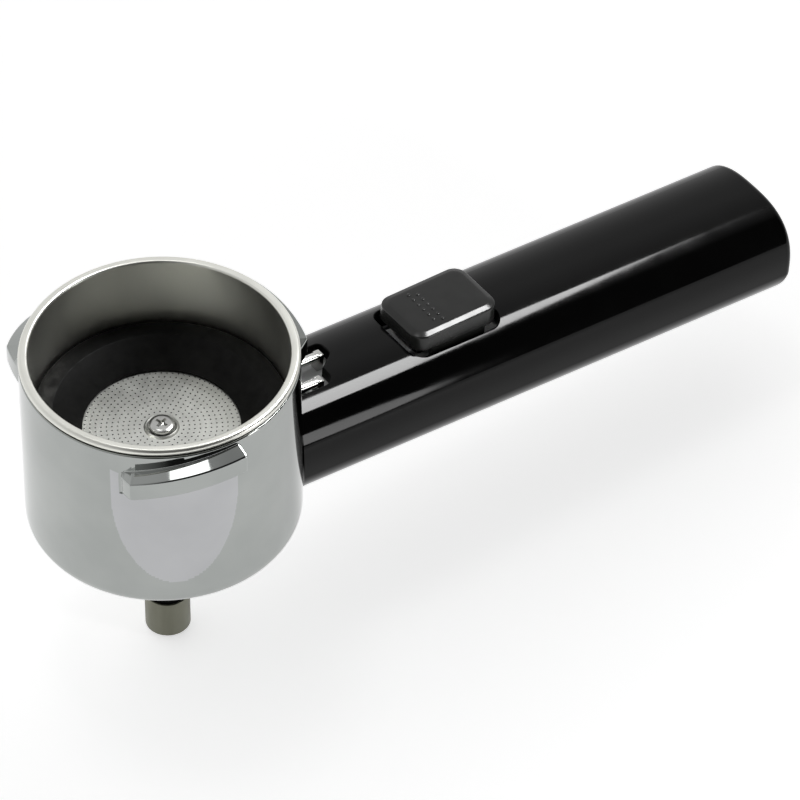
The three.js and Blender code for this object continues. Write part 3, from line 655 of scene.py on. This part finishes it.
def sieve_holes():
    """Each hole's centre and direction from the screw, in rings with every other ring staggered."""
    span = SIEVE["last"] - SIEVE["first"]
    rings = round(span / SIEVE["pitch"])
    holes = []
    for ring in range(rings + 1):
        radius = SIEVE["first"] + span * ring / rings
        count = 6 * round(radius / SIEVE["pitch"])
        for i in range(count):
            angle = TURN * (i + 0.5 * (ring % 2)) / count
            holes.append((radius * math.cos(angle), radius * math.sin(angle), angle))
    return holes


def sieve_disc():
    """The disc with its fine holes as real openings."""
    flat = []
    edges = []

    def add_loop(points):
        first, count = len(flat), len(points)
        flat.extend(points)
        edges.extend((first + i, first + (i + 1) % count) for i in range(count))

    add_loop(circle(SIEVE["radius"], 128))
    add_loop(circle(SIEVE["screw_hole"], 48))
    cell = SIEVE["pitch"]
    holes_in = {}
    for x, y, angle in sieve_holes():
        add_loop(circle(SIEVE["hole"], 8, (x, y), angle))
        holes_in.setdefault((round(x / cell), round(y / cell)), []).append(Vector((x, y)))
    for radius in RING_CIRCLES:
        flat += circle(radius, 72)
    found, _, faces, *_ = delaunay_2d_cdt(flat, edges, [], 0, 1e-5)

    def is_open(face):
        middle = sum((found[i] for i in face), Vector((0, 0))) / len(face)
        if not SIEVE["screw_hole"] <= middle.length <= SIEVE["radius"]:
            return True
        column, row = round(middle.x / cell), round(middle.y / cell)
        around = [(column + i, row + j) for i in (-1, 0, 1) for j in (-1, 0, 1)]
        near = [centre for key in around for centre in holes_in.get(key, [])]
        return any((centre - middle).length < SIEVE["hole"] * 0.95 for centre in near)

    solid = [face for face in faces if not is_open(face)]
    top = [Vector((p.x, p.y, SIEVE["top"] + sieve_height(p.length))) for p in found]
    low = [Vector((p.x, p.y, p.z - SIEVE["sheet"])) for p in top]
    count = len(found)
    sides = {}
    for face in solid:
        for a, b in zip(face, face[1:] + face[:1]):
            sides[(a, b)] = sides.get((a, b), 0) + 1
    walls = [(a, a + count, b + count, b) for a, b in sides if (b, a) not in sides]
    above = [tuple(face) for face in solid]
    below = [tuple(i + count for i in reversed(face)) for face in solid]
    disc = make("sieve_disc_plate", top + low, above + below + walls)
    loose = bmesh.new()
    loose.from_mesh(disc.data)
    bmesh.ops.delete(loose, geom=[v for v in loose.verts if not v.link_faces], context="VERTS")
    loose.to_mesh(disc.data)
    loose.free()
    smooth(disc.data, 40)
    return settle(disc, "basket", "sieve_steel", "sieve_disc")


def sieve_screw():
    head_bottom = SIEVE["top"] + 0.3
    screw = lathe("sieve_screw_pan_head", [
        (0, -21.6), (2.2, -21.62, 1), (2.9, -21.9, 0.3), (2.9, head_bottom, 0.1), (2, head_bottom, 0.1),
        (2, -34.9, 0.4), (0, -34.9),
    ], 64, 6)
    cutters = []
    for turned in (0, 1, 0.5, 1.5):
        long_arm = turned in (0, 1)
        half, width, depth = (1.7, 0.36, 0.9) if long_arm else (0.95, 0.16, 0.45)
        space = BOWL_SPACE @ Matrix.Rotation(turned * math.pi / 2 + 0.3, 4, "Z")
        rings = []
        for z, shrink in ((-21.3, 1), (-21.6 - depth, 0.55)):
            x, y = half * shrink, width * (0.4 + 0.6 * shrink)
            rings.append([Vector((-x, -y, z)), Vector((x, -y, z)), Vector((x, y, z)), Vector((-x, y, z))])
        cutters.append(loft("recess", rings, space))
    combine(screw, "DIFFERENCE", cutters)
    smooth(screw.data, 30)
    return settle(screw, "basket", "fastener_steel", "sieve_screw")


def crema_diffuser():
    neck, flange, top, flange_top, bottom = 22.3, 26.9, -26.5, -30.2, -32.4
    diffuser = lathe("crema_diffuser_body", [
        (2.3, -23.8), (5, -23.8, 0.3), (5, flange_top + 0.6, 0.4), (11.5, flange_top + 0.6, 0.4),
        (11.5, top, 0.3), (neck, top, 0.5), (neck, flange_top, 0.4), (flange, flange_top, 0.4),
        (flange, bottom, 0.9), (8, bottom, 0.6), (7.4, bottom - 2, 0.5), (4.2, bottom - 2, 0.2),
        (4.2, bottom + 0.8), (2.3, bottom + 0.8),
    ], 160, 5)
    holes = [rod("jet", 0.8, bottom - 1, flange_top + 1.6, (9.6, 0, 0), "Z", BOWL_SPACE)]
    combine(diffuser, "DIFFERENCE", holes)
    ribs = []
    for i in range(8):
        space = BOWL_SPACE @ Matrix.Rotation(TURN * (i + 0.5) / 8, 4, "Z")
        ribs.append(block("rib", (9, flange - 1.4), (-0.5, 0.5), (bottom - 0.7, bottom + 0.3), space, 0.2))
    combine(diffuser, "UNION", ribs)
    smooth(diffuser.data)
    return settle(diffuser, "basket", "seat_plastic", "crema_diffuser")


def diffuser_gasket():
    top = BASKET["floor"] - BASKET["sheet"] - 0.3
    gasket = lathe("diffuser_gasket_ring", [
        (12.2, -26.2, 0.4), (12.2, top, 0.4), (20.5, top, 0.4), (20.5, -26.2, 0.4),
    ], 96, 4)
    return settle(gasket, "basket", "seal_rubber", "diffuser_gasket")


def diffuser_nut():
    top = -31.9
    bottom = top - 2.2
    nut = lathe("diffuser_hex_nut", [(0, top), (3.9, top, 0.15), (3.9, bottom, 0.15), (0, bottom)], 6, 2)
    round_off = lathe("chamfer", [
        (0, top + 0.2), (3.3, top + 0.2), (4.6, top - 1), (3.4, top - 2.6), (0, top - 2.6),
    ], 48)
    combine(nut, "INTERSECT", [round_off])
    combine(nut, "DIFFERENCE", [rod("bore", 2.3, top - 3, top + 1, (0, 0, 0), "Z", BOWL_SPACE)])
    smooth(nut.data, 25)
    return settle(nut, "basket", "fastener_steel", "diffuser_nut")


filter_basket()
pod_seat()
sieve_disc()
sieve_screw()
crema_diffuser()
diffuser_gasket()
diffuser_nut()


# ---------------------------------------------------------------- spout
def outlet():
    inner, outer, top, end = (OUTLET[size] for size in ("inner", "outer", "top", "end"))
    pipe = lathe("outlet_pipe_tube", [
        (inner, top, 0.2), (outer, top, 0.3), (outer, end, 0.2), (inner, end, 0.2),
    ], 96, 4)
    settle(pipe, "holder", "seat_plastic", "outlet_pipe")
    inner, outer = OUTLET["sleeve_inner"], OUTLET["sleeve_outer"]
    top, end = OUTLET["sleeve_top"], OUTLET["sleeve_end"]
    sleeve = lathe("outlet_sleeve_tube", [
        (inner, top), (outer, top, 0.15), (outer, end, 0.18), (inner, end, 0.15),
    ], 96, 4)
    settle(sleeve, "holder", "spout_steel", "outlet_sleeve")
    ring = circle(OUTLET["seal_half"], 16, (OUTLET["seal_radius"], OUTLET["seal_height"]))
    seal = lathe("outlet_seal_ring", ring, 64)
    settle(seal, "holder", "seal_rubber", "outlet_seal")


outlet()


# ---------------------------------------------------------------- handle
def section_sizes(x, inset=0.0):
    """The section's half width, its heights above and below its widest level, and that level."""
    growth = 1 + HANDLE["flare"] * x / HANDLE["end"]
    across = HANDLE["half_width"] * growth - inset
    above = HANDLE["widest"] * growth - inset
    below = (HANDLE["depth"] - HANDLE["widest"]) * growth - inset
    return across, above, below, -HANDLE["widest"] * growth


def handle_ring(x, inset=0.0, count=240):
    """The outline of the section at x, whose upper and lower halves are superellipses."""
    across, above, below, middle = section_sizes(x, inset)
    ring = []
    for i in range(count):
        angle = TURN * i / count
        c, s = math.cos(angle), math.sin(angle)
        power = 2 / (HANDLE["upper"] if s > 0 else HANDLE["lower"])
        y = across * math.copysign(abs(c) ** power, c)
        z = middle + (above if s > 0 else below) * math.copysign(abs(s) ** power, s)
        ring.append(Vector((x, y, z)))
    return ring


def crown_height(x, y):
    across, above, _, middle = section_sizes(x)
    share = max(0, 1 - abs(y / across) ** HANDLE["upper"])
    return middle + above * share ** (1 / HANDLE["upper"])


def section_normal(point):
    """The outside's true normal at a point in the handle's own space."""
    fillet_from = HANDLE["end"] - HANDLE["end_fillet"]
    across, above, below, middle = section_sizes(point.x)
    up = point.z > middle
    power = HANDLE["upper"] if up else HANDLE["lower"]
    tall = above if up else below
    y = math.copysign((abs(point.y) / across) ** (power - 1), point.y) / across
    z = math.copysign((abs(point.z - middle) / tall) ** (power - 1), point.z - middle) / tall
    side = Vector((0, y, z)).normalized()
    over = min(1, max(0, (point.x - fillet_from) / HANDLE["end_fillet"]))
    lift = math.asin(over)
    return Vector((math.sin(lift), side.y * math.cos(lift), side.z * math.cos(lift)))


def lip_cutter(name, ring_at, floor):
    """A cutter that rounds over its rim in the crown. ring_at(grow) is its outline grown outwards."""
    radius, proud = LIP["round_over"], LIP["proud"]
    levels = [(radius, proud)]
    for step in range(1, 5):
        angle = math.pi / 2 * step / 4
        levels.append((radius * (1 - math.sin(angle)), proud - radius * (1 - math.cos(angle))))
    rings = [[Vector((x, y, LIP["above"])) for x, y in ring_at(radius)]]
    for grow, lift in levels:
        ring = []
        for x, y in ring_at(grow):
            ring.append(Vector((x, y, crown_height(x, y) + lift)))
        rings.append(ring)
    rings.append([Vector((x, y, floor)) for x, y in ring_at(0)])
    return loft(name, rings, HANDLE_SPACE)


def rounded_rectangle(start, end, half, corner):
    return outline([
        (start, -half, corner), (end, -half, corner), (end, half, corner), (start, half, corner),
    ], 10)


def pocket_ring(grow):
    start, end, half = POCKET["start"] - grow, POCKET["end"] + grow, POCKET["half"] + grow
    return rounded_rectangle(start, end, half, POCKET["corner"] + grow)


def notch_ring(grow):
    """The near half of the notch over the tines."""
    start, side, end = NOTCH["start"], NOTCH["near"] - grow, NOTCH["near_end"] + grow
    return outline([(start, side), (end, side, NOTCH["corner"] + grow), (end, 1), (start, 1)], 10)


def notch_step_ring(grow):
    """The far half of the notch, which runs further back behind a slanted step."""
    start, end, side = NOTCH["start"], NOTCH["far_end"] + grow, NOTCH["far"] + grow
    slope = (NOTCH["step_to"] - NOTCH["step_from"]) / (NOTCH["far_end"] - NOTCH["near_end"])
    lower = NOTCH["step_from"] - NOTCH["overlap"]
    turn = NOTCH["near_end"] - NOTCH["overlap"] / slope
    corner = NOTCH["step"] + grow
    return outline([
        (start, lower - grow), (turn + grow / 3, lower - grow), (end, NOTCH["step_to"] - grow / 2, corner),
        (end, side, corner), (start, side),
    ], 10)


def true_normals(obj):
    """Gives the outside faces the section's true normals, so that long reflections stay straight."""
    mesh = obj.data
    smooth(mesh)
    back = HANDLE_SPACE.inverted()
    spin = HANDLE_SPACE.to_3x3().normalized()
    normals = [Vector(corner.vector) for corner in mesh.corner_normals]
    points = [back @ vertex.co for vertex in mesh.vertices]
    for polygon in mesh.polygons:
        is_cut = polygon.material_index > 0
        is_end = (back.to_3x3() @ polygon.normal).normalized().x > 0.999
        if is_cut or is_end:
            continue
        for loop in polygon.loop_indices:
            normals[loop] = spin @ section_normal(points[mesh.loops[loop].vertex_index])
    mesh.normals_split_custom_set(normals)


def handle_shell():
    end, fillet = HANDLE["end"], HANDLE["end_fillet"]
    rings = [handle_ring(26)]
    for step in range(9):
        angle = math.pi / 2 * step / 8
        rings.append(handle_ring(end - fillet * (1 - math.sin(angle)), fillet * (1 - math.cos(angle))))
    shell = loft("handle_shell_body", rings, HANDLE_SPACE)
    wear(shell, LOOKS["handle_plastic"])
    saddle = lathe("saddle", [(0, -80), (HANDLE["saddle"], -80), (HANDLE["saddle"], 20), (0, 20)], 256)
    core = loft("core", [
        handle_ring(HANDLE["core_from"], HANDLE["wall"]), handle_ring(end + 1, HANDLE["wall"]),
    ], HANDLE_SPACE)
    front, clear = 20, 0.35
    half = TANG["half"] + clear
    channel_half, channel_height = CHANNEL["half"], (CHANNEL["floor"], CHANNEL["roof"])
    socket_height = (TANG["bottom"] - clear, CHANNEL["floor"] + 1)
    cutters = [
        saddle,
        core,
        block("channel", (front, CHANNEL["end"]), (-channel_half, channel_half), channel_height),
        block("tang_socket", (front, TANG["end"] + 0.4), (-half, half), socket_height),
        block("flange_room", (62, 89.4), (-11.2, 11.2), (CHANNEL["floor"], -3.4)),
        lip_cutter("pocket", pocket_ring, POCKET["floor"]),
        lip_cutter("notch", notch_ring, POCKET["floor"]),
        lip_cutter("notch_step", notch_step_ring, POCKET["floor"] + 0.01),
        rod("bolt_hole", BOLT["shank"] + 0.4, front, BOLT["seat"] + 1, (0, 0, BOLT["height"])),
        rod("head_room", BOLT["head"] + 0.7, BOLT["seat"], HANDLE["core_from"] + 1, (0, 0, BOLT["height"])),
    ]
    for cutter in cutters:
        # the cut faces are rough black plastic painted darker than the outside: painted shade in the pocket,
        # notch and channel
        wear(cutter, UNPOLISHED_SHADED_PLASTIC)
    combine(shell, "DIFFERENCE", cutters)
    true_normals(shell)
    return settle(shell, "holder", "handle_plastic", "handle_shell")


def handle_end_cap():
    fit, edge = HANDLE["wall"] + 0.3, 0.7
    end = HANDLE["end"]
    rings = [handle_ring(end - 5, fit), handle_ring(end - edge, fit)]
    for step in range(1, 7):
        angle = math.pi / 2 * step / 6
        rings.append(handle_ring(end - edge * (1 - math.sin(angle)), fit + edge * (1 - math.cos(angle))))
    cap = loft("handle_end_cap_plug", rings, HANDLE_SPACE)
    return settle(cap, "holder", "handle_plastic", "handle_end_cap")


def bolt_and_washer():
    at = (0, 0, BOLT["height"])
    seat = BOLT["seat"] + 0.3
    washer = lathe("bolt_washer_ring", [
        (2.9, seat, 0.1), (5, seat, 0.2), (5, seat + 1.1, 0.2), (2.9, seat + 1.1, 0.1),
    ], 64, 3, HANDLE_SPACE, "X", at)
    settle(washer, "holder", "fastener_steel", "bolt_washer")
    head = seat + 1.4
    start, end = BOLT["start"], head + BOLT["head_length"]
    bolt = lathe("handle_bolt_screw", [
        (0, start), (BOLT["shank"], start, 0.5), (BOLT["shank"], head), (BOLT["head"], head, 0.2),
        (BOLT["head"], end, 0.5), (0, end),
    ], 64, 4, HANDLE_SPACE, "X", at)
    key_outline = [(0, head + 2), (2.4, head + 2), (2.4, head + 6), (0, head + 6)]
    combine(bolt, "DIFFERENCE", [lathe("key", key_outline, 6, 1, HANDLE_SPACE, "X", at)])
    smooth(bolt.data)
    settle(bolt, "holder", "fastener_steel", "handle_bolt")


handle_shell()
handle_end_cap()
bolt_and_washer()


# ---------------------------------------------------------------- basket lock
# (inset, drop): a tight radius over the wall, a broad shallow chamfer, and the slightly crowned top
BUTTON_PROFILE = (
    (0, 1.1), (0, 0.8), (0.04, 0.66), (0.12, 0.55), (0.22, 0.48), (0.34, 0.43), (1.25, 0.07), (1.4, 0.03),
    (1.7, 0), (2.4, -0.03), (3.5, -0.06), (5.5, -0.08), (7.2, -0.09),
)


def button_top(x):
    slope = (BUTTON["rear"] - BUTTON["front"]) / (BUTTON["end"] - BUTTON["start"])
    return BUTTON["front"] + slope * (x - BUTTON["start"])


def button_ring(inset, drop=None, level=None):
    """The button's outline drawn in, at a drop below the sloping top or at a fixed level."""
    start, end, half = BUTTON["start"] + inset, BUTTON["end"] - inset, BUTTON["half"] - inset
    flat = rounded_rectangle(start, end, half, max(0.4, BUTTON["corner"] - inset * 0.6))
    return [Vector((x, y, level if drop is None else button_top(x) - drop)) for x, y in flat]


def lock_button():
    bottom = BUTTON["bottom"]
    rings = [button_ring(0.1, level=bottom), button_ring(-0.1, level=bottom + 0.3)]
    rings += [button_ring(inset, drop) for inset, drop in BUTTON_PROFILE]
    button = loft("lock_button_cap", rings, HANDLE_SPACE)
    pips = []
    for row, x in enumerate((71.2, 73.1)):
        for i in range(6):
            y = (i - 2.5) * 1.9 + (0.5 - row) * 0.95
            space = HANDLE_SPACE @ Matrix.Translation((x, y, button_top(x) + 0.05))
            dome = [(0, -0.3), (0.5, -0.3), (0.5, 0.08, 0.12), (0.25, 0.2, 0.3), (0, 0.22)]
            pips.append(lathe("pip", dome, 20, 4, space))
    stem = slab("stem", [
        (66.9, 2.5), (66.9, -3.8), (68.7, -5.7), (73.5, -5.7), (73.5, 2.5),
    ], -FORK["ramp_half"], FORK["ramp_half"], edge=0.2, plane="XZ")
    feet = [block("spring_seat", (77.7, 83.3), (-2.8, 2.8), (-2.3, 1), edge=0.2)]
    for side in (-1, 1):
        skirt = sorted((side * 7.3, side * 8.2))
        flange = sorted((side * 7.3, side * 10.6))
        feet.append(block("skirt", (68.2, 83.2), skirt, (-4.9, 0.6), edge=0.2))
        feet.append(block("flange", (68.2, 83.2), flange, (-4.9, -3.7), edge=0.2))
    combine(button, "UNION", [stem, *feet])
    smooth(button.data)
    join(button, pips)
    return settle(button, "button", "button_plastic", "lock_button")


def lock_fork():
    half, top, bottom = FORK["half"], FORK["top"], FORK["bottom"]
    front, end = FORK["front"], FORK["end"]
    plate = slab("lock_fork_plate", [
        (front, -half, 1), (end, -half, 2), (end, half, 2), (front, half, 1),
    ], bottom, top, edge=0.2)
    windows = (("spring_window", 47, 58.5, 2.1, 0.8), ("stem_window", 66, 87.8, 4.3, 1))
    for name, x_from, x_to, y, corner in windows:
        window = [(x_from, -y, corner), (x_to, -y, corner), (x_to, y, corner), (x_from, y, corner)]
        combine(plate, "DIFFERENCE", [slab(name, window, bottom - 1, top + 1)])
    ramp_at, ramp_top, ramp_half = FORK["ramp_at"], FORK["ramp_top"], FORK["ramp_half"]
    ramp_start, ramp_end = ramp_at - 4.5, ramp_at + ramp_top - bottom
    extras = [slab("ramp", [
        (ramp_start, bottom), (ramp_start, ramp_top, 0.3), (ramp_at, ramp_top), (ramp_end, bottom),
    ], -ramp_half, ramp_half, plane="XZ")]
    for side, post in zip((-1, 1), FORK["posts"]):
        y = side * FORK["spacing"] / 2
        height = (bottom + 0.2, FORK["tine_height"] + 0.9)
        extras.append(block("post", (post, post + 1.6), (y - 1.1, y + 1.1), height, edge=0.25))
        at = (0, y, FORK["tine_height"])
        extras.append(rod("tine", FORK["tine"], FORK["tip"], post + 0.8, at, edge=0.5, segments=40))
    # the plate itself has no look and stays plain grey; only what stands on it is plated
    for extra in extras:
        wear(extra, LOOKS["fastener_steel"])
    combine(plate, "UNION", extras)
    smooth(plate.data)
    return settle(plate, "fork", "fastener_steel", "lock_fork")


def guide_screws():
    length, half = GUIDE_SCREW["slot_length"], GUIDE_SCREW["slot_half"]
    for number, side in ((1, -1), (2, 1)):
        x, y = GUIDE_SCREW["x"], side * GUIDE_SCREW["y"]
        screw = lathe("guide_screw_%d_head" % number, [
            (0, -6.8), (2.2, -6.8, 0.35), (2.2, -8), (1.1, -8, 0.1), (1.1, -12.6, 0.4), (0, -12.6),
        ], 40, 4, HANDLE_SPACE, "Z", (x, y, 0))
        slot_cut = block("slot", (x - length, x + length), (y - half, y + half), (-7.4, -6))
        combine(screw, "DIFFERENCE", [slot_cut])
        smooth(screw.data)
        settle(screw, "holder", "fastener_steel", "guide_screw_%d" % number)


def spring_between(node, spring, turned):
    """A coil that starts at its seat and lies along the turned direction."""
    seat = Vector(spring["start"])
    wound = coil(node + "_coil", spring, HANDLE_SPACE @ Matrix.Translation(seat) @ turned)
    settle(wound, "holder", "fastener_steel", node)
    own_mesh(wound)


def springs():
    lying = Matrix.Rotation(math.pi / 2, 4, "Y")
    spring_between("fork_spring", FORK_SPRING, lying)
    spring_between("button_spring", BUTTON_SPRING, Matrix.Identity(4))


def fork_guide():
    """The guide keeps its CAD shape, with its edges softened."""
    guide = frame["nodes"]["fork_guide"]
    wear(guide, GUIDE_PLASTIC)
    soften = guide.modifiers.new("soft_edges", "BEVEL")
    soften.width = 0.15 * MM
    soften.segments = 2
    soften.limit_method = "ANGLE"


lock_button()
lock_fork()
guide_screws()
springs()
fork_guide()


# ---------------------------------------------------------------- studio
def floor():
    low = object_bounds()[0].z
    bpy.ops.mesh.primitive_plane_add(size=4, location=(0.08, 0, low - 0.0015))
    plane = bpy.context.object
    plane.name = "studio_floor"
    glow = {"Specular IOR Level": 0.1, "Emission Color": (1, 1, 1, 1), "Emission Strength": 0.6}
    pale = ((0.86, 0.86, 0.86), (0.88, 0.88, 0.88))
    wear(plane, surface("pale_floor", glow, pale, 3, (0.7, 0.8), 5, []))
    plane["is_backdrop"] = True


def softbox(name, direction, distance, size, radiance, centre=(0.09, 0, -0.03), roll=0, mirrored_only=False):
    """An area light that faces the centre, a rectangle if it is rolled and an oval if it isn't.

    radiance is its own brightness, whatever its size."""
    light = bpy.data.lights.new(name, "AREA")
    light.shape = "RECTANGLE" if roll else "ELLIPSE"
    light.size, light.size_y = size
    area = size[0] * size[1] * (1 if roll else math.pi / 4)
    light.energy = radiance * math.pi * area
    lamp = bpy.data.objects.new(name, light)
    bpy.context.scene.collection.objects.link(lamp)
    aim = Vector(direction).normalized()
    lamp.location = Vector(centre) + aim * distance
    lamp.rotation_mode = "QUATERNION"
    turn = aim.to_track_quat("Z", "Y").to_matrix() @ Matrix.Rotation(math.radians(roll), 3, "Z")
    lamp.rotation_quaternion = turn.to_quaternion()
    lamp.visible_diffuse = not mirrored_only


def world():
    """A pale room that darkens towards the front and above, where the chrome mirrors little light."""
    darkest = Vector((0.15, -0.85, 0.5)).normalized()
    made = bpy.data.worlds.new("studio_world")
    bpy.context.scene.world = made
    made.use_nodes = True
    nodes, links = made.node_tree.nodes, made.node_tree.links
    background = nodes["Background"]
    towards = nodes.new("ShaderNodeVectorMath")
    towards.operation = "DOT_PRODUCT"
    towards.inputs[1].default_value = darkest
    links.new(nodes.new("ShaderNodeTexCoord").outputs["Generated"], towards.inputs[0])
    spread = nodes.new("ShaderNodeMapRange")
    spread.inputs["From Min"].default_value = -1
    links.new(towards.outputs["Value"], spread.inputs["Value"])
    ramp = nodes.new("ShaderNodeValToRGB")
    stops = ramp.color_ramp.elements
    for position, grey in ((0.3, 0.85), (0.4, 0.75), (0.5, 0.64), (0.68, 0.52), (0.78, 0.25)):
        stops.new(position).color = (grey, grey, grey, 1)
    stops[0].color = (0.85, 0.85, 0.85, 1)
    stops[-1].position = 0.84
    stops[-1].color = (0.03, 0.03, 0.03, 1)
    links.new(spread.outputs["Result"], ramp.inputs["Fac"])
    links.new(ramp.outputs["Color"], background.inputs["Color"])
    background.inputs["Strength"].default_value = 1.0


def camera():
    """A long lens from the front left, 44 degrees up."""
    elevation, azimuth = math.radians(44.35), math.radians(36)
    distance, to_right, down = 1.529, 0.0526, 0.0105
    level = math.cos(elevation)
    back = Vector((-math.sin(azimuth) * level, -math.cos(azimuth) * level, math.sin(elevation)))
    right = Vector((math.cos(azimuth), -math.sin(azimuth), 0))
    up = back.cross(right)
    data = bpy.data.cameras.new("camera")
    data.sensor_width = 36
    data.lens = 315
    data.clip_start, data.clip_end = 0.1, 20
    made = bpy.data.objects.new("camera", data)
    bpy.context.scene.collection.objects.link(made)
    place = Matrix.Translation(back * distance + right * to_right - up * down)
    made.matrix_world = place @ Matrix((right, up, back)).transposed().to_4x4()
    bpy.context.scene.camera = made


floor()
world()
softbox("key_softbox", (0.489, 0.016, 0.874), 1.4, (0.51, 0.36), 31, roll=-16, mirrored_only=True)
softbox("overhead_softbox", (-0.059, 0.223, 0.973), 1.316, (0.34, 0.34), 3)
softbox("low_window", (0.51, -0.82, 0.22), 0.45, (0.07, 0.2), 8, centre=(0.01, 0, -0.035))
camera()
bpy.context.scene.view_settings.view_transform = "Standard"
